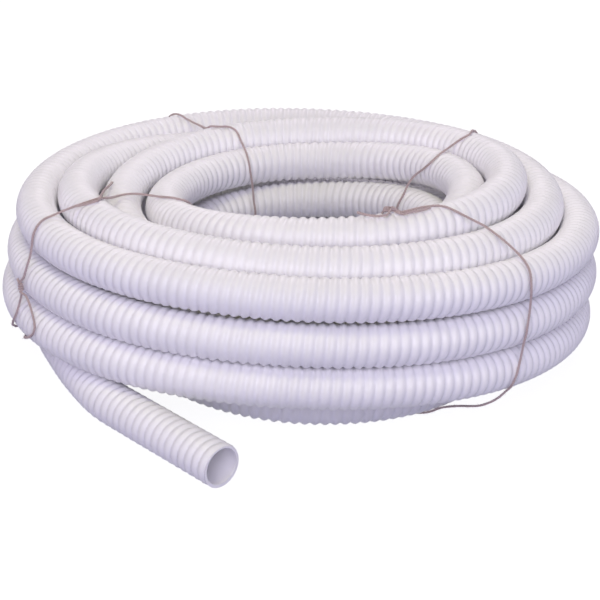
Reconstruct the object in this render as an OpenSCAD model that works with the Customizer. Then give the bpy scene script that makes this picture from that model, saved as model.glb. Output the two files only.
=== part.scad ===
// Swimming pool vacuum hose: one ribbed PVC hose with a smooth bore, wound into a low round coil,
// tied with four twines, its open end lying loose on the floor in front.
// Millimetres, +Z up. The floor is z = 0, the coil's middle is the Z axis and its front is -Y.

/* [Hose] */
// Diameter of the smooth bore
bore_d = 38; // [32:0.5:50]
// Thickness of the soft web between two ribs
web = 1.5; // [1:0.1:2]
// Height of a rib over the web
rib_h = 2; // [1:0.1:3]
// Distance from rib to rib
rib_pitch = 10; // [8:0.5:14]
// Width of a rib at its foot
rib_foot = 7.5; // [5:0.5:7.5]
// Width of a rib at its crest
rib_crest = 4.5; // [2:0.5:4.5]
// Length of the straight open end
end_length = 56; // [40:1:90]

/* [Coil] */
// Gap between two turns that touch
turn_gap = 0.2; // [0.1:0.1:3]

/* [Ties] */
// Thickness of the twine
twine_d = 2.6; // [1.5:0.1:4]
// Gap between the twine and the hose
twine_gap = 0.5; // [0.2:0.1:1]
// Size of a knot
knot_d = 7; // [5:0.5:9]

/* [Hidden] */
white_pvc = "white";
brown_twine = "rosybrown";

// Tube sizes
bore_r = bore_d / 2;
web_r = bore_r + web;
hose_r = web_r + rib_h;
turn_pitch = 2 * hose_r + turn_gap;
// The hose lies on the twines that pass under it
lift = twine_d + twine_gap;

// Winding chart. Each entry is where the hose crosses one side of the coil:
// [distance from the coil's middle, height of its centre], both in turn pitches.
// A row is one turn, which runs left, front, right, back. The first row starts inside at the bottom.
winding = [
    [4.00, 0.50], [4.95, 0.50], [4.95, 0.60], [4.80, 0.85],
    [4.45, 1.45], [3.90, 1.80], [3.45, 2.90], [3.35, 2.30],
    [3.40, 2.05], [3.55, 3.00], [3.95, 3.95], [3.65, 3.30],
    [3.40, 3.30], [4.00, 4.10], [4.90, 4.35], [4.60, 3.70],
    [4.50, 3.35], [4.65, 3.00], [4.60, 2.65], [4.50, 2.10],
    [5.05, 2.35], [5.35, 2.20], [5.60, 2.40], [5.50, 2.85],
    [5.55, 3.60], [5.30, 3.95], [5.85, 3.80], [6.55, 3.35],
    [6.55, 3.30], [6.30, 3.65], [6.75, 3.30], [7.10, 2.45],
    [6.80, 2.25], [6.35, 2.60], [6.80, 2.25], [7.05, 1.40],
    [6.95, 1.25], [6.35, 1.60], [6.75, 1.20], [6.45, 0.50],
    [5.95, 0.50]
];
// Angles are counted on from turn to turn: left is 180, front 270, right 360, back 450.
left_angle = 180;
first_angle = 215;
last_angle = 3770;
ring_step = 15;
hose_sides = 10;

// Route of the loose end on the floor, seen from above, in turn pitches, and its share of the lift
tail_route = [
    [-5.95, 0.00, 1.0], [-5.95, -1.00, 1.0], [-5.85, -2.00, 1.0], [-5.45, -3.00, 1.0],
    [-4.95, -4.00, 0.4], [-4.30, -5.05, 0.0], [-3.60, -5.80, 0.0], [-2.85, -6.55, 0.0]
];
end_joint = [-2.35, -7.05];
end_heading = -45;

// Ties: [side where the knot sits, half the knot's angle, then the angle round the coil by side].
// A side is where the twine touches the bundle: 0 is outside, 90 on top, 180 inside, 270 below.
// The left knot sits on the taut stretch between two turns.
tie_back_left_at = [335, 10, [
    [0, 128], [60, 124], [80, 116], [120, 116], [180, 117], [270, 122], [360, 128]
]];
tie_back_right_at = [20, 10, [
    [0, 50], [66, 50], [68, 31], [110, 31], [180, 33], [270, 42], [360, 50]
]];
tie_front_right_at = [115, 10, [
    [0, 316.5], [40, 318.5], [66, 321], [80, 313], [95, 306], [115, 297], [180, 297],
    [270, 304], [310, 311.5], [330, 314.5], [360, 316.5]
]];
tie_left_at = [8, 1.5, [
    [0, 206], [40, 207.5], [90, 208], [150, 194], [180, 194], [270, 200], [360, 206]
]];
twine_sides = 8;
twine_steps = 36;
round_facets = 32;
// Knot: [place along the twine, width]
knot_shape = [
    [-0.6 * knot_d, twine_d], [-0.4 * knot_d, 0.85 * knot_d], [0, knot_d],
    [0.4 * knot_d, 0.85 * knot_d], [0.6 * knot_d, twine_d]
];

// Smooth curve through b and c, with a before them and d after them
function spline(a, b, c, d, t) =
    b + 0.5 * t * ((c - a) + t * ((2 * a - 5 * b + 4 * c - d) + t * (3 * b - a - 3 * c + d)));

function station(k) = winding[max(0, min(len(winding) - 1, k))];

// Where the hose crosses the half plane at an angle: [distance from the middle, height]
function crossing(angle) =
    let (q = (angle - left_angle) / 90, k = floor(q))
    let (s = spline(station(k - 1), station(k), station(k + 1), station(k + 2), q - k))
    [turn_pitch * s[0], lift + turn_pitch * max(0.5, s[1])];

function at_angle(p, angle) = [p[0] * cos(angle), p[0] * sin(angle), p[1]];

ring_angles = [first_angle : ring_step : last_angle];
coil_points = [for (angle = ring_angles) at_angle(crossing(angle), angle)];
tail_points = [
    for (p = tail_route) [turn_pitch * p[0], turn_pitch * p[1], hose_r + lift * p[2]]
];
end_direction = [cos(end_heading), sin(end_heading), 0];
joint_point = [turn_pitch * end_joint[0], turn_pitch * end_joint[1], hose_r];
route = concat(coil_points, tail_points, [joint_point, joint_point + hose_r * end_direction]);
coil_last = len(coil_points) - 1;
tail_last = len(route) - 2;

function unit(v) = v / norm(v);
function heading(i) = unit(route[min(i + 1, len(route) - 1)] - route[max(i - 1, 0)]);

// One ring of points square to the route
function ring(i, radius) =
    let (t = heading(i), side = unit(cross(t, [0, 0, 1])), up = cross(side, t))
    [for (j = [0 : hose_sides - 1])
        let (a = 360 * (j + 0.5) / hose_sides)
        route[i] + radius * (cos(a) * side + sin(a) * up)];

// Two triangles between point j of one ring and the next point of another
function quad(a, b, j, sides, flip) =
    let (k = (j + 1) % sides)
    flip ? [[a + j, b + k, a + k], [a + j, b + j, b + k]]
         : [[a + j, a + k, b + k], [a + j, b + k, b + j]];

// Open hollow tube from ring a to ring b of the route
module swept_hose(a, b) {
    rings = b - a + 1;
    inner = rings * hose_sides;
    last = (rings - 1) * hose_sides;
    points = concat(
        [for (i = [a : b]) each ring(i, hose_r)],
        [for (i = [a : b]) each ring(i, bore_r)]
    );
    around = [0 : hose_sides - 1];
    faces = concat(
        [for (i = [0 : rings - 2], j = around)
            each quad(i * hose_sides, (i + 1) * hose_sides, j, hose_sides, false)],
        [for (i = [0 : rings - 2], j = around)
            each quad(inner + i * hose_sides, inner + (i + 1) * hose_sides, j, hose_sides, true)],
        [for (j = around) each quad(0, inner, j, hose_sides, true)],
        [for (j = around) each quad(last, inner + last, j, hose_sides, false)]
    );
    polyhedron(points = points, faces = faces, convexity = 10);
}

// The wound hose, from its inner end up to where it leaves the coil
module hose_coil() {
    color(white_pvc) swept_hose(0, coil_last);
}

// The loose hose between the coil and the open end
module hose_tail() {
    color(white_pvc) swept_hose(coil_last, tail_last);
}

// Half section of the open end: bore, web and round ribs
module end_section() {
    ribs = floor((end_length - rib_foot / 2) / rib_pitch);
    outer = concat(
        [[hose_r, 0], [hose_r, rib_crest / 2], [web_r, rib_foot / 2]],
        [for (i = [1 : ribs]) each [
            [web_r, i * rib_pitch - rib_foot / 2],
            [hose_r, i * rib_pitch - rib_crest / 2],
            [hose_r, i * rib_pitch + rib_crest / 2],
            [web_r, i * rib_pitch + rib_foot / 2]
        ]],
        [[web_r, end_length]]
    );
    polygon(concat([[bore_r, 0]], outer, [[bore_r, end_length]]));
}

// The open end, which a cuff or a 38 mm spigot goes into
module hose_end() {
    color(white_pvc) translate(joint_point) rotate([0, 90, end_heading])
        rotate_extrude($fn = round_facets) end_section();
}

// Where the tube crosses the half plane at an angle, on the straight line between two rings
function tube_crossing(angle) =
    let (from = angle - (angle - first_angle) % ring_step, to = from + ring_step)
    let (p = crossing(from), q = crossing(to))
    let (a = p[0] * sin(angle - from), b = q[0] * sin(to - angle), t = a / (a + b))
    [p[0] * q[0] * sin(ring_step) / (a + b), p[1] + t * (q[1] - p[1])];

// Crossings of all the turns at one angle
function bundle(angle) = [
    for (a = [angle : 360 : last_angle]) if (a >= first_angle) tube_crossing(a)
];

// Where the tail crosses the half plane at an angle, while it is still under the coil
function tail_crossing(angle) =
    let (p = [for (i = [1 : 3]) tail_points[i]])
    let (at = [for (q = p) 180 + atan(q[1] / q[0])], away = [for (q = p) norm([q[0], q[1]])])
    [
        lookup(angle, [for (i = [0 : 2]) [at[i], away[i]]]),
        lookup(angle, [for (i = [0 : 2]) [at[i], p[i][2]]])
    ];

// The circle of the bundle that reaches furthest in a direction
function furthest(circles, direction) =
    let (reach = [for (c = circles) c * direction])
    circles[search(max(reach), reach)[0]];

// Middle of a twine of this radius where it touches the bundle from one side
function seat(place, with_tail, side, radius) =
    let (angle = lookup((side + 360) % 360, place[2]), way = [cos(side), sin(side)])
    let (circles = concat(bundle(angle), with_tail ? [tail_crossing(angle)] : []))
    at_angle(furthest(circles, way) + (hose_r + twine_gap + radius) * way, angle);

// Which way is out at one side
function outward(place, side) = at_angle([cos(side), sin(side)], lookup((side + 360) % 360, place[2]));

// Rings along a twine: [middle, out, radius]. The last five make the knot.
function twine_rings(place, with_tail) =
    let (knot = place[0], half = place[1], out = outward(place, knot))
    let (p = seat(place, with_tail, knot - 1, knot_d / 2), q = seat(place, with_tail, knot + 1, knot_d / 2))
    let (middle = (p + q) / 2, along = at_angle([-sin(knot), cos(knot)], lookup(knot, place[2])))
    concat(
        [for (i = [0 : twine_steps])
            let (side = knot + half + 2 * (180 - half) * i / twine_steps)
            [seat(place, with_tail, side, twine_d / 2), outward(place, side), twine_d / 2]],
        [for (k = knot_shape)
            [middle + k[0] * along - (knot_d - k[1]) / 2 * out, out, k[1] / 2]]
    );

// One twine pulled tight round the bundle, with its knot. The left one also holds the tail.
module tie(place, with_tail = false) {
    rings = twine_rings(place, with_tail);
    count = len(rings);
    points = [
        for (i = [0 : count - 1])
            let (r = rings[i])
            let (t = unit(rings[(i + 1) % count][0] - rings[(i + count - 1) % count][0]))
            let (across = unit(cross(t, r[1])), out = cross(across, t))
            for (j = [0 : twine_sides - 1])
                let (b = 360 * j / twine_sides)
                r[0] + r[2] * (cos(b) * across + sin(b) * out)
    ];
    faces = [
        for (i = [0 : count - 1], j = [0 : twine_sides - 1])
            each quad(i * twine_sides, ((i + 1) % count) * twine_sides, j, twine_sides, false)
    ];
    color(brown_twine) polyhedron(points = points, faces = faces, convexity = 10);
}

module tie_back_left() {
    tie(tie_back_left_at);
}

module tie_back_right() {
    tie(tie_back_right_at);
}

module tie_front_right() {
    tie(tie_front_right_at);
}

module tie_left() {
    tie(tie_left_at, true);
}

hose_coil();
hose_tail();
hose_end();
tie_back_left();
tie_back_right();
tie_front_right();
tie_left();
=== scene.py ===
"""Looks of a ribbed swimming pool vacuum hose, wound into a coil and tied with four twines."""
import math

import bpy
import numpy as np
from mathutils import Matrix, Vector
from mathutils.kdtree import KDTree


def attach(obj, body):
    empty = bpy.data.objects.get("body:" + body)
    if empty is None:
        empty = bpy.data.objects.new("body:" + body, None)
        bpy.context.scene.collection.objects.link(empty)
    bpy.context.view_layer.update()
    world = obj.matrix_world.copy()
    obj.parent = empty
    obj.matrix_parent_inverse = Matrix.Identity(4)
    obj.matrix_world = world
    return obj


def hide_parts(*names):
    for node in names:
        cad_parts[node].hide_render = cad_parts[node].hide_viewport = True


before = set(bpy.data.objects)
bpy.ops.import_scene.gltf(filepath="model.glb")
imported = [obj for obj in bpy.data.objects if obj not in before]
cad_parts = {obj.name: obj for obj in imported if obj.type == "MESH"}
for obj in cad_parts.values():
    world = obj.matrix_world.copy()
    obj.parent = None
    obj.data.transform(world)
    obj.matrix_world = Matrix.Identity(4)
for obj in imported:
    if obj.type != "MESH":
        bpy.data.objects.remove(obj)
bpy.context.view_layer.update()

bl_info = {
    "name": "Pool Vacuum Hose",
    "version": (1, 0, 0),
    "blender": (4, 5, 0),
    "location": "View3D > Sidebar > Pool Hose",
    "description": "Builds a ribbed pool vacuum hose in a tied coil, with its stage",
    "category": "Add Mesh",
}

MM = 0.001

# The coil's turns: [distance from the middle, height], in turn pitches,
# at the left, front, right and back in turn
WINDING = np.array([
    (4.00, 0.50), (4.95, 0.50), (4.95, 0.60), (4.80, 0.85),
    (4.45, 1.45), (3.90, 1.80), (3.45, 2.90), (3.35, 2.30),
    (3.40, 2.05), (3.55, 3.00), (3.95, 3.95), (3.65, 3.30),
    (3.40, 3.30), (4.00, 4.10), (4.90, 4.35), (4.60, 3.70),
    (4.50, 3.35), (4.65, 3.00), (4.60, 2.65), (4.50, 2.10),
    (5.05, 2.35), (5.35, 2.20), (5.60, 2.40), (5.50, 2.85),
    (5.55, 3.60), (5.30, 3.95), (5.85, 3.80), (6.55, 3.35),
    (6.55, 3.30), (6.30, 3.65), (6.75, 3.30), (7.10, 2.45),
    (6.80, 2.25), (6.35, 2.60), (6.80, 2.25), (7.05, 1.40),
    (6.95, 1.25), (6.35, 1.60), (6.75, 1.20), (6.45, 0.50),
    (5.95, 0.50),
])
LOWEST_TURN = 0.5
LEFT_ANGLE, FIRST_ANGLE, LAST_ANGLE = 180.0, 215.0, 3770.0
ANGLE_STEP = 1.5
LINE_SPACING = 2 * MM
PATH_SPACING = 10 * MM

# The loose end on the floor: [x, y] in turn pitches, then its share of the coil's lift
TAIL_ROUTE = np.array([
    (-5.95, 0.00, 1.0), (-5.95, -1.00, 1.0), (-5.85, -2.00, 1.0), (-5.45, -3.00, 1.0),
    (-4.95, -4.00, 0.4), (-4.30, -5.05, 0.0), (-3.60, -5.80, 0.0), (-2.85, -6.55, 0.0),
    (-2.35, -7.05, 0.0),
])
END_HEADING = math.radians(-45)
# The part of the coil, in degrees, that its curve starts from, and the curve's points per place
LEAD_ANGLE = 15
CURVE_STEPS = 24

# Outline of one rib along the hose: [share of the pitch, share of the rib's height]
RIB_OUTLINE = np.array([
    (0.00, 0.00), (0.10, 0.10), (0.22, 0.50), (0.35, 0.88),
    (0.50, 1.00), (0.65, 0.88), (0.78, 0.50), (0.90, 0.10),
])
COLUMNS = 24
# Where the bore's colour lies between the valleys' at 0 and the crests' at 1
BORE_SHADE = 0.6
SHARP_ANGLE = math.radians(55)
ROUND_OFF = 1e-9

# The hose is one length. It is meshed in pieces that meet in a valley between two ribs:
# [name, share of the wound length at which it ends]
HOSE_PIECES = [
    ("hose_first_turns", 0.22),
    ("hose_inner_turns", 0.48),
    ("hose_top_turns", 0.74),
    ("hose_outer_turns", 1.00),
]

# Ties, each from its knot round the coil and back to it. A row of two puts the twine tight against
# the bundle: [side, angle round the coil], where side 0 is outside, 90 on top, 180 inside and 270
# below. A row of three is a place: [angle, distance from the middle, height], in millimetres.
BACK_LEFT = [
    (335, 124), (360, 124), (425, 123.5), (122, 286, 173), (122, 272, 173), (121.6, 262, 173),
    (121.7, 248, 174), (123.4, 228, 179), (123.4, 208, 185), (122.2, 202, 187), (121, 202, 187.5),
    (119.3, 202, 188), (117.8, 197, 187), (116.6, 191, 184), (116.2, 182, 174.5),
    (118.3, 157, 173.5), (119.4, 142, 164), (119.2, 136, 152), (118.4, 134, 140),
    (117.8, 133, 128), (117.4, 131, 111), (117, 129, 101), (190, 117), (270, 120), (335, 124),
]
BACK_RIGHT = [
    (350, 47), (385, 46.5), (425, 46), (28.4, 214, 216), (29.8, 204, 210), (31.3, 200, 204),
    (25.4, 168, 200), (24.8, 161, 196), (25.7, 156, 190), (28.3, 153, 182), (30.7, 152, 176),
    (33.4, 150, 170), (33.9, 142, 159), (33.5, 133, 139), (34.3, 130, 130), (185, 34), (270, 42),
    (350, 47),
]
FRONT_RIGHT = [
    (120, 296.5), (180, 297), (265, 303), (309.3, 255, 16), (310.2, 268, 21), (310.7, 280, 25),
    (311.2, 290, 29), (312.3, 298, 35), (313.2, 304, 41), (314, 309, 50), (313.6, 318, 64),
    (314.7, 318, 76), (315.3, 317, 86), (315.6, 318, 107), (315.8, 319, 120), (316.3, 318, 134),
    (316.3, 318, 149), (315.9, 319, 162), (316.2, 316, 173), (316.6, 312, 178), (317.1, 306, 184),
    (317.5, 296, 189), (317.7, 286, 193), (317.8, 274, 198), (318, 260, 202), (317.6, 248, 207),
    (316.5, 234, 211), (315.3, 223, 215), (313.9, 215, 219), (312.5, 208, 221), (310.5, 202, 221),
    (305.8, 199, 221), (303, 198, 220), (299.8, 198, 219), (296, 199, 218),
]
LEFT = [
    (206.2, 325, 105), (206.4, 325, 110), (207.1, 324, 120), (207.9, 323, 130), (207.9, 320, 138),
    (208.1, 318, 147), (207.7, 316, 156), (207.9, 314, 166), (207.3, 309, 174), (207, 303, 178),
    (206.6, 296, 180), (206.9, 290, 182), (207.5, 284, 186), (208.1, 274, 190), (208.1, 262, 193),
    (209, 252, 197), (207.8, 240, 196), (202.8, 224, 187), (197.9, 213, 181), (194.7, 205, 178),
    (193.7, 195, 178), (193.6, 184, 177), (195.3, 174, 177), (199.5, 168, 180), (202.5, 165, 182),
    (205.3, 162, 184), (207.2, 158, 185), (209.7, 156, 186), (212.5, 152, 186.5), (168, 208),
    (180, 203), (270, 195), (310, 196), (197, 303.5, 24), (199, 306, 33), (202, 313, 38.5),
    (205, 322, 43), (208, 327, 50), (211, 328, 58), (213.1, 328, 67), (213.3, 326, 74),
    (212.1, 325, 80), (210.8, 324, 86), (209.3, 323, 91), (208, 324, 97), (206.2, 325, 105),
]
# Loose ends: the two that leave the knot, then one that is laid beside the loop
ENDS = {
    "tie_back_left": [[(324, 121.5), (316, 119)], [(328, 127), (320, 130)], []],
    "tie_back_right": [[(340, 45), (333, 43)], [(344, 49.5), (336, 52)], []],
    "tie_front_right": [
        [(294.5, 200, 219), (292, 198, 218), (290, 194, 218), (288.4, 190, 218), (286.5, 186, 219)],
        [(299, 203, 219), (302, 203, 220), (305, 204, 220), (308, 206, 222)], [],
    ],
    "tie_left": [
        [(205.9, 326, 93), (205, 327, 82), (205.1, 330, 73), (203.6, 332, 60), (202, 331, 51),
         (200, 325, 43), (198, 316, 39), (196.5, 308, 37)],
        [(205, 328, 111)],
        [(208, 269, 191), (209.3, 258, 194), (210.2, 248, 197), (206, 238, 195), (196, 225, 186),
         (187, 217, 178), (182.3, 214, 176)],
    ],
}
TIES = {
    "tie_back_left": BACK_LEFT, "tie_back_right": BACK_RIGHT,
    "tie_front_right": FRONT_RIGHT, "tie_left": LEFT,
}

# Twine: lengths are shares of its thickness, except the spacings
PLIES, PLY_SIDES = 3, 6
PLY_OFFSET, PLY_RADIUS = 0.26, 0.245
FRAY_LENGTH, FRAY_SPREAD = 6 * MM, 0.5
LAID_SPACING, STRAND_SPACING, MESH_SPACING = 1.0 * MM, 0.5 * MM, 0.9 * MM
LOOP_PASSES, EXTRA_PASSES, STRAND_PASSES = 14, 6, 8
# Degrees of side from point to point, times it is pushed clear of the hose, height over the floor
SIDE_STEP, PUSHES, FLOOR_LIFT = 2, 3, 1.1
# Knot: its height over the hose, half the length of its core, and the strand wound round that
KNOT_HEIGHT, KNOT_REACH, KNOT_LENGTH = 1.5, 2.0, 3.3
KNOT_WINDS, KNOT_START = 3.1, 0.05
CORE_POINTS, WIND_POINTS = 9, 40
KNOT_RADIUS, KNOT_SWELL, KNOT_WAVES = 0.86, 0.12, 2.3
# Points at each end of the loop that give the knot its direction, and that it takes the place of
KNOT_LEAD, KNOT_CUT = 9, 12
# Hairs
HAIRS_PER_POINT = 1.2
HAIR_FOOT, HAIR_WIDTH, HAIR_LIFT = 0.4, 0.045, 0.02
HAIR_LENGTH, HAIR_LEAN = (0.35, 1.25), (-1.2, 1.2)
HAIR_SEED = 5

# Stage, in metres, with the sensor in millimetres
FLOOR_SIZE, VIEW_DEPTH, SENSOR_WIDTH = 12.0, 40.0, 36.0
# Share of the floor that glows where it is seen, how bright it glows, and the light from all round
GLOW_SHARE, GLOW = 0.76, 1.28
FILL_TINT, FILL = "#E6E6FA", 0.02
# Lamps, each aimed at the coil's middle: [name, place, diameter, watts, tint]
LAMPS = [
    ("lamp_key", (-0.6, -1.2, 3.5), 1.2, 25.0, "#FFFCB7"),
    ("lamp_camera", (0.0, -3.4, 1.9), 3.2, 103.0, "#EDE8FB"),
    ("lamp_back", (0.0, 2.2, 2.8), 2.0, 42.0, "#F8ECFF"),
    ("lamp_right", (3.4, 0.2, 1.2), 2.0, 20.0, "#E5DEFF"),
    ("lamp_left", (-3.4, 0.2, 1.2), 2.0, 20.0, "#E6D6FF"),
]


def length_prop(name, description, millimetres):
    """A size in metres, written in millimetres."""
    return bpy.props.FloatProperty(
        name=name, description=description, default=millimetres * MM,
        min=0.0, precision=4, subtype="DISTANCE", unit="LENGTH",
    )


def hex_colour(text):
    """An sRGB hex value as linear red, green and blue."""
    srgb = [int(text[i:i + 2], 16) / 255 for i in (1, 3, 5)]
    return [c / 12.92 if c <= 0.04045 else ((c + 0.055) / 1.055) ** 2.4 for c in srgb]


def colour_prop(name, description, text):
    """A colour, written as an sRGB hex value."""
    return bpy.props.FloatVectorProperty(
        name=name, description=description, default=hex_colour(text),
        size=3, min=0.0, max=1.0, subtype="COLOR",
    )


def angle_prop(name, description, degrees):
    """An angle, written in degrees."""
    return bpy.props.FloatProperty(
        name=name, description=description, default=math.radians(degrees),
        subtype="ANGLE", unit="ROTATION",
    )


class HoseSizes(bpy.types.PropertyGroup):
    """Sizes and colours of the hose."""

    bore: length_prop("Bore", "Diameter of the smooth bore", 38)
    web: length_prop("Web", "Thickness of the wall between two ribs", 1.5)
    rib_height: length_prop("Rib height", "Height of a rib over the web", 2)
    rib_pitch: length_prop("Rib pitch", "Distance from rib to rib", 10)
    end_length: length_prop("End length", "Length of the straight open end", 56)
    turn_gap: length_prop("Turn gap", "Gap between two turns that touch", 0.2)
    crest: colour_prop("Crest", "Colour of the ribs' crests", "#F8F7F9")
    # Partly the web's own colour; its slight lilac is painted shade in the valleys between the ribs
    valley: colour_prop("Valley", "Colour of the wall between the ribs", "#F7F6FA")


class TwineSizes(bpy.types.PropertyGroup):
    """Sizes and colours of the twine."""

    thickness: length_prop("Thickness", "Thickness of the twine", 2.6)
    gap: length_prop("Gap", "Gap between the coil's lowest turn and the floor, over the twine", 0.5)
    lay: length_prop("Lay", "Length of one twist of the strands", 9)
    light: colour_prop("Light fibre", "Colour of the outer fibres", "#CCB8B6")
    # Painted shade: the colour the twine is drawn in deep between its strands
    gap_shade: colour_prop("Painted gap shade", "Colour between the strands", "#8A757E")


class StageSettings(bpy.types.PropertyGroup):
    """Camera, floor and lamps."""

    elevation: angle_prop("Elevation", "Camera's angle above the floor", 23.8)
    roll: angle_prop("Roll", "Camera's turn about its own axis", 2.8)
    field: angle_prop("Field of view", "Camera's field of view", 20.33)
    distance: length_prop("Distance", "From the camera to the point it looks at", 1912.5)
    target_height: length_prop("Target height", "Height of the point it looks at", 41.4)
    floor: colour_prop("Floor", "Colour of the floor", "#FAFAFB")
    bounce: colour_prop("Bounce", "Colour of the light that the floor gives back", "#9C9ABA")


# ---------------------------------------------------------------- centre line

def unit(v):
    """The vectors, each scaled to a length of one."""
    return v / np.linalg.norm(v, axis=-1, keepdims=True)


def spline(a, b, c, d, t):
    """Smooth curve through b and c, with a before them and d after them."""
    square, cube = 2 * a - 5 * b + 4 * c - d, 3 * b - a - 3 * c + d
    return b + 0.5 * t * ((c - a) + t * (square + t * cube))


def at_angle(place, angle):
    """Points in space from their distance from the middle and height, at angles in degrees."""
    a = np.radians(angle) + 0.0 * place[..., 0]
    return np.stack([place[..., 0] * np.cos(a), place[..., 0] * np.sin(a), place[..., 1]], -1)


def resampled(line, spacing):
    """The same line with even steps, and the length up to each of its points."""
    run = np.concatenate([[0], np.cumsum(np.linalg.norm(np.diff(line, axis=0), axis=1))])
    along = np.linspace(0, run[-1], max(2, round(run[-1] / spacing) + 1))
    return np.stack([np.interp(along, run, line[:, i]) for i in range(3)], -1), along


class Hose:
    """The hose's sizes and its centre line."""

    def __init__(self, scene):
        p, twine = scene.pool_hose, scene.pool_twine
        self.bore_r = p.bore / 2
        self.web_r = self.bore_r + p.web
        self.rib_height = p.rib_height
        self.radius = self.web_r + p.rib_height
        self.rib_pitch = p.rib_pitch
        self.pitch = 2 * self.radius + p.turn_gap
        self.lift = twine.thickness + twine.gap
        angle = np.arange(FIRST_ANGLE, LAST_ANGLE + ANGLE_STEP / 2, ANGLE_STEP)
        coil = at_angle(self.crossing(angle), angle)
        self.coil_length = resampled(coil, LINE_SPACING)[1][-1]
        last = coil[[-1 - round(LEAD_ANGLE / ANGLE_STEP), -1]]
        whole = np.vstack([coil, self.tail(last, p.end_length)])
        self.line, self.along = resampled(whole, LINE_SPACING)
        self.length = self.along[-1]
        heading = unit(np.gradient(self.line, axis=0))
        self.side = unit(np.cross(heading, (0.0, 0.0, 1.0)))
        self.up = np.cross(self.side, heading)

    def crossing(self, angle):
        """The hose's distance from the middle and height at angles that count on over the turns."""
        quarter = (np.asarray(angle, float) - LEFT_ANGLE) / 90
        k = np.floor(quarter).astype(int)
        stations = [WINDING[np.clip(k + i, 0, len(WINDING) - 1)] for i in (-1, 0, 1, 2)]
        place = spline(*stations, (quarter - k)[..., None])
        place[..., 1] = np.maximum(place[..., 1], LOWEST_TURN)
        return place * self.pitch + np.array((0.0, self.lift))

    def tail_points(self):
        """The route's points on the floor, in metres."""
        scale = np.array((self.pitch, self.pitch, self.lift))
        return TAIL_ROUTE * scale + np.array((0.0, 0.0, self.radius))

    def tail(self, before, end_length):
        """Centre line of the loose part: a smooth curve through its points, then the end."""
        route = self.tail_points()
        step = end_length * np.array((math.cos(END_HEADING), math.sin(END_HEADING), 0.0))
        knots = np.vstack([before, route, route[-1] + step, route[-1] + 2 * step])
        t = np.linspace(0, 1, CURVE_STEPS, endpoint=False)[:, None]
        curve = [spline(*knots[i - 1:i + 3], t) for i in range(1, len(knots) - 2)]
        return np.vstack([*curve, knots[-2:-1]])[1:]

    def at(self, values, s):
        """What values, known along the line, come to at the lengths s."""
        return np.stack([np.interp(s, self.along, values[:, i]) for i in range(3)], -1)

    def surface(self, s, around, radius):
        """Points at lengths s, at shares of a turn round from the underside, and at a radius."""
        a = 2 * math.pi * (around - 0.25)
        side, up = self.at(self.side, s), self.at(self.up, s)
        out = np.cos(a)[..., None] * side + np.sin(a)[..., None] * up
        return self.at(self.line, s) + radius[..., None] * out

    def rib(self, s, around):
        """Share of the rib's height. The rib is a helix."""
        share = np.mod(s / self.rib_pitch - around + ROUND_OFF, 1.0)
        return np.interp(share, [*RIB_OUTLINE[:, 0], 1.0], [*RIB_OUTLINE[:, 1], 0.0])


# ---------------------------------------------------------------- hose mesh

class Shell:
    """One of the hose's two surfaces, as a grid whose rows follow the rib's helix.

    Row r and column j lie about r / per_pitch + j / COLUMNS pitches along, and the last column
    meets the first one a pitch further on, so the grid is one long ramp.
    """

    def __init__(self, hose, per_pitch, shares, start, end, first_point):
        self.k = per_pitch
        pitches = hose.length / hose.rib_pitch
        self.row_a = -2 * per_pitch if start is None else start * per_pitch
        self.row_b = (math.ceil(pitches) + 1) * per_pitch if end is None else end * per_pitch
        rows = np.arange(self.row_a, self.row_b + per_pitch + 1)
        columns = np.arange(COLUMNS)
        r, j = np.meshgrid(rows, columns, indexing="ij")
        place = np.floor_divide(r, per_pitch) + shares[np.mod(r, per_pitch)] + j / COLUMNS
        s = place * hose.rib_pitch
        self.s = np.clip(s, 0, hose.length)
        self.around = j / COLUMNS
        low = np.maximum((s <= 0).sum(0) - 1, 0)
        high = np.minimum((s < hose.length).sum(0), len(rows) - 1)
        row = np.clip(np.arange(len(rows))[:, None], low, high)
        self.index = row * COLUMNS + j + first_point

    def at(self, r, j):
        """Index of the point in row r and column j, which may be the column after the last."""
        turn = np.floor_divide(j, COLUMNS)
        return self.index[r - self.row_a + turn * self.k, np.mod(j, COLUMNS)]

    def faces(self, outside):
        """Triangles of the whole surface."""
        r, j = np.meshgrid(np.arange(self.row_a, self.row_b), np.arange(COLUMNS), indexing="ij")
        a, b = self.at(r, j).ravel(), self.at(r, j + 1).ravel()
        c, d = self.at(r + 1, j + 1).ravel(), self.at(r + 1, j).ravel()
        if not outside:
            b, d = d, b
        tris = np.vstack([np.stack([a, b, c], 1), np.stack([a, c, d], 1)])
        whole = (tris != np.roll(tris, -1, axis=1)).all(axis=1)
        return tris[whole]

    def edge(self, r):
        """Points of the ramp's edge in row r, and on to where the ramp comes round again."""
        ramp = [int(self.at(r, j)) for j in range(COLUMNS + 1)]
        return ramp, [int(self.at(r + i, 0)) for i in range(self.k, -1, -1)]


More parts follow.
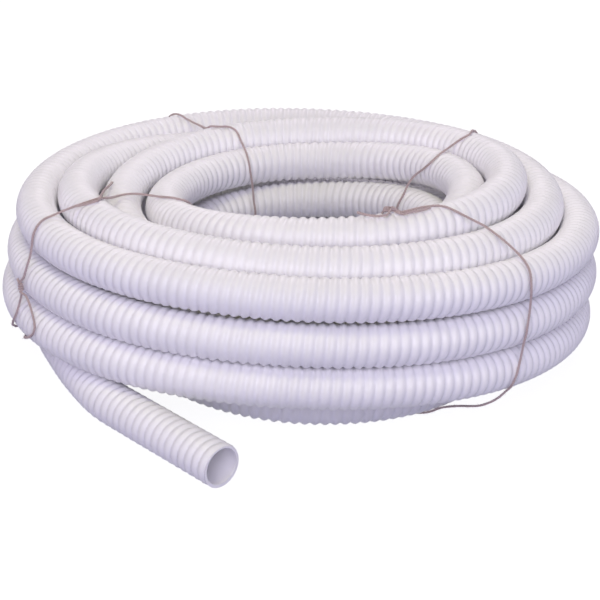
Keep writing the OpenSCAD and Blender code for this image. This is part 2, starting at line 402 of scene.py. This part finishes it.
def hose_mesh(hose, name, start, end):
    """One piece of the hose between two pitches. None stands for a square cut end."""
    outer = Shell(hose, len(RIB_OUTLINE), RIB_OUTLINE[:, 0], start, end, 0)
    count = outer.s.size
    inner = Shell(hose, 1, np.zeros(1), start, end, count)
    height = hose.rib(outer.s, outer.around)
    points = np.vstack([
        hose.surface(outer.s, outer.around, hose.web_r + hose.rib_height * height).reshape(-1, 3),
        hose.surface(inner.s, inner.around, np.full(inner.s.shape, hose.bore_r)).reshape(-1, 3),
    ])
    caps = []
    for first, cut in ((True, start), (False, end)):
        if cut is None:
            row = 0 if first else -1
            rim, bore = outer.index[row].tolist(), inner.index[row].tolist()
            rim, bore = rim + rim[:1], bore + bore[:1]
            step = []
        else:
            rim, step = outer.edge(cut * outer.k)
            bore, _ = inner.edge(cut)
        cap = []
        for j in range(COLUMNS):
            cap += [(rim[j], bore[j], bore[j + 1]), (rim[j], bore[j + 1], rim[j + 1])]
        if step:
            cap += [(bore[0], a, b) for a, b in zip(step, step[1:])]
            cap += [(bore[0], bore[-1], step[0])]
        caps += [t[::-1] if first else t for t in cap]
    tris = np.vstack([outer.faces(True), inner.faces(False), np.array(caps)])
    used, tris = np.unique(tris, return_inverse=True)
    tris = tris.reshape(-1, 3)
    mesh = bpy.data.meshes.new(name)
    mesh.from_pydata(points[used].tolist(), [], tris.tolist())
    rib = np.concatenate([height.ravel(), np.full(inner.s.size, BORE_SHADE)])[used]
    mesh.attributes.new("rib", "FLOAT", "POINT").data.foreach_set("value", rib.astype(np.float32))
    s = np.concatenate([outer.s.ravel(), inner.s.ravel()])[used]
    around = np.concatenate([outer.around.ravel(), inner.around.ravel()])[used]
    lay_uv(mesh, s, around, tris)
    smooth = np.ones(len(tris), bool)
    smooth[len(tris) - len(caps):] = False
    mesh.polygons.foreach_set("use_smooth", smooth)
    mesh.set_sharp_from_angle(angle=SHARP_ANGLE)
    mesh.update()
    return mesh


def lay_uv(mesh, s, around, tris):
    """UV map in metres along the hose and turns around it, unbroken within each face."""
    corner_s, corner_a = s[tris], around[tris]
    corner_a = corner_a + (corner_a < corner_a.max(1, keepdims=True) - 0.5)
    uv = np.stack([corner_s, corner_a], -1).astype(np.float32)
    mesh.uv_layers.new(name="UVMap").data.foreach_set("uv", uv.ravel())


def add_object(mesh, slot, *nodes):
    """Links a finished mesh as a piece that stands for these nodes."""
    piece = bpy.data.objects.new(mesh.name, mesh)
    bpy.context.scene.collection.objects.link(piece)
    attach(piece, "root")
    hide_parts(*nodes)
    return piece


# ---------------------------------------------------------------- twine

def tail_circle(hose, angle):
    """Middle of the loose part where it crosses an angle round the coil, still under the coil."""
    points = hose.tail_points()[:4]
    at = np.degrees(np.arctan2(points[:, 1], points[:, 0])) % 360
    away = np.hypot(points[:, 0], points[:, 1])
    return [np.interp(angle, at, away), np.interp(angle, at, points[:, 2])]


def bundle(hose, angle, with_tail):
    """Middles of all the hose's crossings at one angle round the coil."""
    turns = np.arange(angle, LAST_ANGLE, 360.0)
    circles = hose.crossing(turns[turns >= FIRST_ANGLE])
    if with_tail:
        circles = np.vstack([circles, [tail_circle(hose, angle)]])
    return circles


def outward(side, angle):
    """Direction in space of a side of the bundle at an angle round the coil."""
    way = math.radians(side)
    return at_angle(np.array((math.cos(way), math.sin(way))), angle)


def seat(hose, side, angle, clearance, with_tail):
    """Point where a line touches the bundle from one side, at an angle round the coil."""
    way = math.radians(side)
    circles = bundle(hose, angle, with_tail)
    best = circles[np.argmax(circles @ (math.cos(way), math.sin(way)))]
    return at_angle(best, angle) + (hose.radius + clearance) * outward(side, angle)


def laid_path(hose, rows, clearance, with_tail):
    """Points of a twine from its rows: two numbers are a seat on the bundle, three a place."""
    path = []
    for row, after in zip(rows, [*rows[1:], ()]):
        if len(row) == 3:
            path.append(at_angle(np.array(row[1:]) * MM, row[0]))
            continue
        count = max(1, round(abs(after[0] - row[0]) / SIDE_STEP)) if len(after) == 2 else 1
        for i in range(count):
            t = i / count
            side, angle = row if not i else [u + t * (v - u) for u, v in zip(row, after)]
            path.append(seat(hose, side, angle, clearance, with_tail))
    return np.array(path).reshape(-1, 3)


def pushed_clear(hose, tree, line, clearance):
    """Moves the points that lie inside the hose out to its surface."""
    line = line.copy()
    reach = hose.radius + clearance
    for _ in range(PUSHES):
        for i, point in enumerate(line):
            near, _, distance = tree.find(point)
            if distance < reach:
                away = point - np.array(near)
                line[i] = np.array(near) + away * reach / max(distance, 1e-6)
    line[:, 2] = np.maximum(line[:, 2], FLOOR_LIFT * clearance)
    return line


def carried_frames(line):
    """Two directions square to a line at each of its points, carried along without twist."""
    t = unit(np.gradient(line, axis=0))
    u = np.cross(t[0], (0.0, 0.0, 1.0)) + 1e-6
    first = []
    for heading in t:
        u = u - heading * np.dot(u, heading)
        u = u / np.linalg.norm(u)
        first.append(u)
    first = np.array(first)
    return first, np.cross(t, first)


def plies(line, along, thickness, lay):
    """Three strands laid together along a line.

    Gives the points, the triangles, and for each point how far out it lies, its length along the
    line, and its share of a turn round its strand.
    """
    u, v = carried_frames(line)
    sides = PLY_SIDES
    turns = 2 * math.pi * along / lay
    tail = np.minimum(along, along[-1] - along)
    spread = 1 + FRAY_SPREAD * np.clip(1 - tail / FRAY_LENGTH, 0, 1)
    points, tris, depth, s_all, a_all = [], [], [], [], []
    for ply in range(PLIES):
        a = turns + 2 * math.pi * ply / PLIES
        out = np.cos(a)[:, None] * u + np.sin(a)[:, None] * v
        middle = line + (PLY_OFFSET * thickness * spread)[:, None] * out
        pu, pv = carried_frames(middle)
        first = sum(len(p) for p in points)
        n = len(line)
        b = 2 * math.pi * np.arange(sides) / sides
        ring = np.cos(b)[None, :, None] * pu[:, None] + np.sin(b)[None, :, None] * pv[:, None]
        tube = middle[:, None] + PLY_RADIUS * thickness * ring
        points.append(tube.reshape(-1, 3))
        depth.append(np.linalg.norm(tube - line[:, None], axis=-1).ravel() / (thickness / 2))
        s_all.append(np.repeat(along, sides))
        a_all.append(np.tile(np.arange(sides) / sides, n))
        i, j = np.meshgrid(np.arange(n - 1), np.arange(sides), indexing="ij")
        k = (j + 1) % sides
        p00, p01 = first + i * sides + j, first + i * sides + k
        p10, p11 = p00 + sides, p01 + sides
        tris.append(np.stack([p00, p01, p11], -1).reshape(-1, 3))
        tris.append(np.stack([p00, p11, p10], -1).reshape(-1, 3))
        last = first + (n - 1) * sides
        fan = np.arange(1, sides - 1)
        tris.append(np.stack([np.full(fan.shape, first), first + fan + 1, first + fan], -1))
        tris.append(np.stack([np.full(fan.shape, last), last + fan, last + fan + 1], -1))
    return [np.concatenate(x) for x in (points, tris, depth, s_all, a_all)]


def knot_wraps(place, along, out, thickness):
    """Centre line of the strand that is wound three times round the other one in the knot."""
    across = np.cross(along, out)
    t = np.linspace(0, 1, WIND_POINTS)[:, None]
    a = 2 * math.pi * (KNOT_WINDS * t + KNOT_START)
    radius = KNOT_RADIUS * thickness * (1 + KNOT_SWELL * np.sin(KNOT_WAVES * a))
    middle = place + (t - 0.5) * KNOT_LENGTH * thickness * along
    return middle + radius * (np.cos(a) * out + np.sin(a) * across)


def smooth_line(line, spacing, passes):
    """The line with even steps, its corners eased."""
    line, _ = resampled(line, spacing)
    for _ in range(passes):
        line[1:-1] += 0.5 * ((line[:-2] + line[2:]) / 2 - line[1:-1])
    return resampled(line, spacing)[0]


def twine_strands(hose, tree, p, node):
    """Centre lines of one tie: from loose end through the knot to loose end, then any spare one."""
    clearance, with_tail = p.thickness / 2, node == "tie_left"

    def laid(rows, passes):
        line = laid_path(hose, rows, clearance, with_tail)
        for _ in range(PUSHES):
            line = pushed_clear(hose, tree, smooth_line(line, LAID_SPACING, passes), clearance)
        return line

    loop = laid(TIES[node], LOOP_PASSES)
    first, last, extra = ENDS[node]
    middle = (loop[0] + loop[-1]) / 2
    near = np.array(tree.find(middle)[0])
    out = unit(middle - near)
    along = unit(loop[KNOT_LEAD] - loop[-1 - KNOT_LEAD])
    middle = near + out * (hose.radius + KNOT_HEIGHT * p.thickness)
    core = middle + np.linspace(-KNOT_REACH, KNOT_REACH, CORE_POINTS)[:, None] * p.thickness * along
    wraps = knot_wraps(middle, along, out, p.thickness)
    first, last = [laid_path(hose, rows, clearance, with_tail) for rows in (first, last)]
    line = np.vstack([first[::-1], core, loop[KNOT_CUT:-KNOT_CUT], wraps, last])
    strands = [smooth_line(line, STRAND_SPACING, STRAND_PASSES)]
    if extra:
        strands.append(laid(extra, EXTRA_PASSES))
    return strands


def fibres(line, u, v, thickness, random):
    """Fine hairs that stand off the twine, each a thin spike of three faces and its foot."""
    count = int(len(line) * HAIRS_PER_POINT)
    at = np.sort(random.integers(2, len(line) - 2, count))
    turn, lean = random.uniform(0, 2 * math.pi, count), random.uniform(*HAIR_LEAN, count)
    length = thickness * random.uniform(*HAIR_LENGTH, count)
    out = np.cos(turn)[:, None] * u[at] + np.sin(turn)[:, None] * v[at]
    heading = unit(line[at + 1] - line[at - 1])
    tip_way = unit(out + lean[:, None] * heading)
    foot = line[at] + HAIR_FOOT * thickness * out
    side = unit(np.cross(tip_way, heading + 0.3 * out))
    other = np.cross(tip_way, side)
    width = HAIR_WIDTH * thickness
    a = 2 * math.pi * np.arange(3)[None, :, None] / 3
    ring = width * (np.cos(a) * side[:, None] + np.sin(a) * other[:, None])
    points = np.concatenate([foot[:, None] + ring, (foot + length[:, None] * tip_way)[:, None]], 1)
    points[..., 2] = np.maximum(points[..., 2], HAIR_LIFT * thickness)
    base = 4 * np.arange(count)[:, None]
    faces = ((0, 1, 3), (1, 2, 3), (2, 0, 3), (0, 2, 1))
    tris = np.concatenate([base + np.array(face) for face in faces])
    return points.reshape(-1, 3), tris


def twine_mesh(name, strands, p, random):
    """One mesh of all the strands of a tie with their hairs."""
    parts, count = [], 0
    for line in strands:
        line, along = resampled(line, MESH_SPACING)
        points, tris, depth, s, around = plies(line, along, p.thickness, p.lay)
        hairs, hair_tris = fibres(line, *carried_frames(line), p.thickness, random)
        for part in (
            (points, tris, depth, s, around),
            (hairs, hair_tris, np.ones(len(hairs)), np.arange(len(hairs)) // 4 * 0.01,
             np.zeros(len(hairs))),
        ):
            parts.append((part[0], part[1] + count, *part[2:]))
            count += len(part[0])
    points, tris, depth, s, around = [np.concatenate(x) for x in zip(*parts)]
    mesh = bpy.data.meshes.new(name)
    mesh.from_pydata(points.tolist(), [], tris.tolist())
    layer = mesh.attributes.new("depth", "FLOAT", "POINT")
    layer.data.foreach_set("value", depth.astype(np.float32))
    lay_uv(mesh, s, around, tris)
    mesh.shade_smooth()
    return mesh


# ---------------------------------------------------------------- materials

def add(nodes, links, kind, settings=None, inputs=None):
    """Adds a node, sets it up, and links or sets its inputs."""
    n = nodes.new(kind)
    for key, value in (settings or {}).items():
        setattr(n, key, value)
    for key, value in (inputs or {}).items():
        if isinstance(value, bpy.types.NodeSocket):
            links.new(value, n.inputs[key])
        else:
            n.inputs[key].default_value = value
    return n


def new_material(name):
    """An empty material with its output: the material, its nodes and its links."""
    m = bpy.data.materials.new(name)
    m.use_nodes = True
    m.node_tree.nodes.clear()
    return m, m.node_tree.nodes, m.node_tree.links


def rgba(colour):
    """A colour with full opacity."""
    return (*colour, 1.0)


def extruded_pvc(p):
    """Flexible PVC, extruded as a strip and wound hot: glossy, milky white, faintly streaked."""
    m, nodes, links = new_material("flexible_pvc_extruded")
    place = add(nodes, links, "ShaderNodeTexCoord")
    rib = add(nodes, links, "ShaderNodeAttribute", {"attribute_name": "rib"})
    # Crests take the crest colour and valleys the valley colour, whose slight lilac is painted
    # shade; the rest is the PVC's own colour
    ramp = add(nodes, links, "ShaderNodeValToRGB", inputs={"Fac": rib.outputs["Fac"]})
    ramp.color_ramp.elements[0].color = rgba(p.valley)
    ramp.color_ramp.elements[1].color = rgba(p.crest)
    ramp.color_ramp.elements[1].position = 0.55
    # Slow change of shade over a few centimetres, as the melt's thickness varies
    cloud = add(nodes, links, "ShaderNodeTexNoise", inputs={
        "Vector": place.outputs["Object"], "Scale": 28.0, "Detail": 2.0})
    shade = add(nodes, links, "ShaderNodeMapRange", inputs={
        "Value": cloud.outputs["Fac"], "From Min": 0.35, "From Max": 0.65,
        "To Min": 0.965, "To Max": 1.0})
    colour = add(nodes, links, "ShaderNodeMix", {"data_type": "RGBA", "blend_type": "MULTIPLY"}, {
        "Factor": 1.0, "A": ramp.outputs["Color"], "B": shade.outputs["Result"]})
    # Flow marks about 3 mm apart, and a fine orange peel of 0.8 mm
    marks = add(nodes, links, "ShaderNodeTexNoise", inputs={
        "Vector": place.outputs["Object"], "Scale": 330.0, "Detail": 3.0})
    peel = add(nodes, links, "ShaderNodeTexNoise", inputs={
        "Vector": place.outputs["Object"], "Scale": 1250.0, "Detail": 2.0})
    fine = add(nodes, links, "ShaderNodeBump", inputs={
        "Height": peel.outputs["Fac"], "Strength": 0.12, "Distance": 0.0002})
    bump = add(nodes, links, "ShaderNodeBump", inputs={
        "Height": marks.outputs["Fac"], "Strength": 0.25, "Distance": 0.0006,
        "Normal": fine.outputs["Normal"]})
    rough = add(nodes, links, "ShaderNodeMapRange", inputs={
        "Value": marks.outputs["Fac"], "To Min": 0.34, "To Max": 0.46})
    shader = add(nodes, links, "ShaderNodeBsdfPrincipled", inputs={
        "Base Color": colour.outputs["Result"], "Roughness": rough.outputs["Result"],
        "IOR": 1.53, "Normal": bump.outputs["Normal"]})
    add(nodes, links, "ShaderNodeOutputMaterial", inputs={"Surface": shader.outputs["BSDF"]})
    return m


def jute_twine(p):
    """Jute, spun and laid in three strands: dull, hairy and faded brown, with painted shade in the
    gaps between them.
    """
    m, nodes, links = new_material("jute_twine_laid")
    depth = add(nodes, links, "ShaderNodeAttribute", {"attribute_name": "depth"})
    uv = add(nodes, links, "ShaderNodeUVMap", {"uv_map": "UVMap"})
    # Fibres about 0.2 mm wide that run along each strand for about 4 mm
    stretch = add(nodes, links, "ShaderNodeMapping", inputs={
        "Vector": uv.outputs["UV"], "Scale": (900.0, 9.0, 1.0)})
    fibre = add(nodes, links, "ShaderNodeTexNoise", inputs={
        "Vector": stretch.outputs["Vector"], "Scale": 1.0, "Detail": 4.0})
    # Painted shade: points that lie deep between the strands take the colour between the strands,
    # the outer fibres their own light colour
    ramp = add(nodes, links, "ShaderNodeValToRGB", inputs={"Fac": depth.outputs["Fac"]})
    ramp.color_ramp.elements[0].color = rgba(p.gap_shade)
    ramp.color_ramp.elements[0].position = 0.35
    ramp.color_ramp.elements[1].color = rgba(p.light)
    ramp.color_ramp.elements[1].position = 0.85
    shade = add(nodes, links, "ShaderNodeMapRange", inputs={
        "Value": fibre.outputs["Fac"], "From Min": 0.3, "From Max": 0.7,
        "To Min": 0.72, "To Max": 1.12})
    colour = add(nodes, links, "ShaderNodeMix", {"data_type": "RGBA", "blend_type": "MULTIPLY"}, {
        "Factor": 1.0, "A": ramp.outputs["Color"], "B": shade.outputs["Result"]})
    bump = add(nodes, links, "ShaderNodeBump", inputs={
        "Height": fibre.outputs["Fac"], "Strength": 0.6, "Distance": 0.0003})
    shader = add(nodes, links, "ShaderNodeBsdfPrincipled", inputs={
        "Base Color": colour.outputs["Result"], "Roughness": 0.92,
        "Sheen Weight": 0.25, "Normal": bump.outputs["Normal"]})
    add(nodes, links, "ShaderNodeOutputMaterial", inputs={"Surface": shader.outputs["BSDF"]})
    return m


def sees_background(nodes, links):
    """1 for a ray that shows the background itself, in the view, a reflection or through glass."""
    path = add(nodes, links, "ShaderNodeLightPath")
    either = add(nodes, links, "ShaderNodeMath", {"operation": "MAXIMUM"}, {
        0: path.outputs["Is Camera Ray"], 1: path.outputs["Is Glossy Ray"]})
    return add(nodes, links, "ShaderNodeMath", {"operation": "MAXIMUM"}, {
        0: either.outputs[0], 1: path.outputs["Is Transmission Ray"]}).outputs[0]


def studio_paper(p):
    """Matt white studio paper: nearly white to see, with a soft shadow and a cool bounce."""
    m, nodes, links = new_material("studio_paper_matt")
    seen = sees_background(nodes, links)
    share = add(nodes, links, "ShaderNodeMath", {"operation": "MULTIPLY"}, {
        0: seen, 1: GLOW_SHARE})
    tone = add(nodes, links, "ShaderNodeMix", {"data_type": "RGBA"}, {
        "Factor": seen, "A": rgba(p.bounce), "B": rgba(p.floor)})
    paper = add(nodes, links, "ShaderNodeBsdfDiffuse", inputs={"Color": tone.outputs["Result"]})
    white = add(nodes, links, "ShaderNodeEmission", inputs={
        "Color": rgba(p.floor), "Strength": GLOW})
    both = add(nodes, links, "ShaderNodeMixShader", inputs={
        "Fac": share.outputs[0], 1: paper.outputs["BSDF"], 2: white.outputs["Emission"]})
    add(nodes, links, "ShaderNodeOutputMaterial", inputs={"Surface": both.outputs["Shader"]})
    return m


# ---------------------------------------------------------------- operators

class POOLHOSE_OT_stage(bpy.types.Operator):
    """Adds the camera, the white floor and the soft lamps"""

    bl_idname = "poolhose.stage"
    bl_label = "Stage"

    def execute(self, context):
        scene, p = context.scene, context.scene.pool_stage
        target = Vector((0.0, 0.0, p.target_height))
        back = Vector((0.0, -math.cos(p.elevation), math.sin(p.elevation)))
        bpy.ops.object.camera_add(location=target + p.distance * back)
        camera = context.object
        camera.name = "photo_camera"
        look = (-back).to_track_quat("-Z", "Y").to_matrix().to_4x4()
        turned = look @ Matrix.Rotation(p.roll, 4, "Z")
        camera.matrix_world = Matrix.Translation(camera.location) @ turned
        camera.data.sensor_width = SENSOR_WIDTH
        camera.data.lens = SENSOR_WIDTH / 2 / math.tan(p.field / 2)
        camera.data.clip_end = VIEW_DEPTH
        scene.camera = camera

        bpy.ops.mesh.primitive_plane_add(size=FLOOR_SIZE)
        floor = context.object
        floor.name = "studio_floor"
        floor.data.materials.append(studio_paper(p))

        for name, place, size, power, tint in LAMPS:
            bpy.ops.object.light_add(type="AREA", location=place)
            lamp = context.object
            lamp.name = name
            lamp.data.shape = "DISK"
            lamp.data.size = size
            lamp.data.energy = power
            lamp.data.color = hex_colour(tint)
            lamp.rotation_euler = (-Vector(place)).to_track_quat("-Z", "Y").to_euler()

        world = scene.world or bpy.data.worlds.new("studio")
        scene.world = world
        world.use_nodes = True
        nodes, links = world.node_tree.nodes, world.node_tree.links
        nodes.clear()
        fill = add(nodes, links, "ShaderNodeBackground", inputs={
            "Color": rgba(hex_colour(FILL_TINT)), "Strength": FILL})
        white = add(nodes, links, "ShaderNodeBackground", inputs={
            "Color": rgba(hex_colour("#FFFFFF")), "Strength": 1.0})
        both = add(nodes, links, "ShaderNodeMixShader", inputs={
            "Fac": sees_background(nodes, links),
            1: fill.outputs["Background"], 2: white.outputs["Background"]})
        add(nodes, links, "ShaderNodeOutputWorld", inputs={"Surface": both.outputs["Shader"]})
        scene.view_settings.view_transform = "Standard"
        return {"FINISHED"}


class POOLHOSE_OT_hose(bpy.types.Operator):
    """Adds the whole hose: its wound turns and its loose open end"""

    bl_idname = "poolhose.hose"
    bl_label = "Hose"

    def execute(self, context):
        hose = Hose(context.scene)
        pvc = extruded_pvc(context.scene.pool_hose)
        start = None
        for name, share in HOSE_PIECES:
            end = round(share * hose.coil_length / hose.rib_pitch)
            self.add_piece(hose, name, start, end, pvc, "hose_coil")
            start = end
        self.add_piece(hose, "hose_loose_end", start, None, pvc, "hose_tail", "hose_end")
        return {"FINISHED"}

    def add_piece(self, hose, name, start, end, material, *nodes):
        """One stretch of the hose, linked in place of these nodes. Its centre line's points are
        worked out, but nothing uses them.
        """
        mesh = hose_mesh(hose, name, start, end)
        mesh.materials.append(material)
        piece = add_object(mesh, "hose_plastic", *nodes)
        s0 = 0.0 if start is None else start * hose.rib_pitch
        s1 = hose.length if end is None else end * hose.rib_pitch
        path = hose.at(hose.line, np.arange(s0, s1, PATH_SPACING))
        path = np.vstack([path, hose.at(hose.line, np.array([s1]))])


class POOLHOSE_OT_ties(bpy.types.Operator):
    """Adds the four knotted twines that hold the coil"""

    bl_idname = "poolhose.ties"
    bl_label = "Ties"

    def execute(self, context):
        hose, p = Hose(context.scene), context.scene.pool_twine
        jute = jute_twine(p)
        random = np.random.default_rng(HAIR_SEED)
        tree = KDTree(len(hose.line))
        for i, point in enumerate(hose.line):
            tree.insert(point, i)
        tree.balance()
        for node in TIES:
            strands = twine_strands(hose, tree, p, node)
            mesh = twine_mesh(node.replace("tie", "twine"), strands, p, random)
            mesh.materials.append(jute)
            add_object(mesh, "twine", node)
        return {"FINISHED"}


class POOLHOSE_PT_panel(bpy.types.Panel):
    """Lists the operators and the sizes"""

    bl_idname = "POOLHOSE_PT_panel"
    bl_label = "Pool Vacuum Hose"
    bl_space_type = "VIEW_3D"
    bl_region_type = "UI"
    bl_category = "Pool Hose"

    def draw(self, context):
        for operator in OPERATORS:
            self.layout.operator(operator.bl_idname)
        for key in GROUPS:
            group, box = getattr(context.scene, key), self.layout.box()
            for name in group.__annotations__:
                box.prop(group, name)


GROUPS = {"pool_hose": HoseSizes, "pool_twine": TwineSizes, "pool_stage": StageSettings}
OPERATORS = [POOLHOSE_OT_stage, POOLHOSE_OT_hose, POOLHOSE_OT_ties]


def register():
    """Adds the operators, the panel and the sizes to Blender."""
    for c in [*GROUPS.values(), *OPERATORS, POOLHOSE_PT_panel]:
        bpy.utils.register_class(c)
    for name, group in GROUPS.items():
        setattr(bpy.types.Scene, name, bpy.props.PointerProperty(type=group))


def unregister():
    """Takes them out again."""
    for name in GROUPS:
        delattr(bpy.types.Scene, name)
    for c in [POOLHOSE_PT_panel, *reversed(OPERATORS), *reversed(GROUPS.values())]:
        bpy.utils.unregister_class(c)


def main():
    """Builds the stage, the hose and the ties."""
    register()
    bpy.ops.object.select_all(action="DESELECT")
    bpy.ops.poolhose.stage()
    bpy.ops.poolhose.hose()
    bpy.ops.poolhose.ties()


if __name__ == "__main__":
    main()
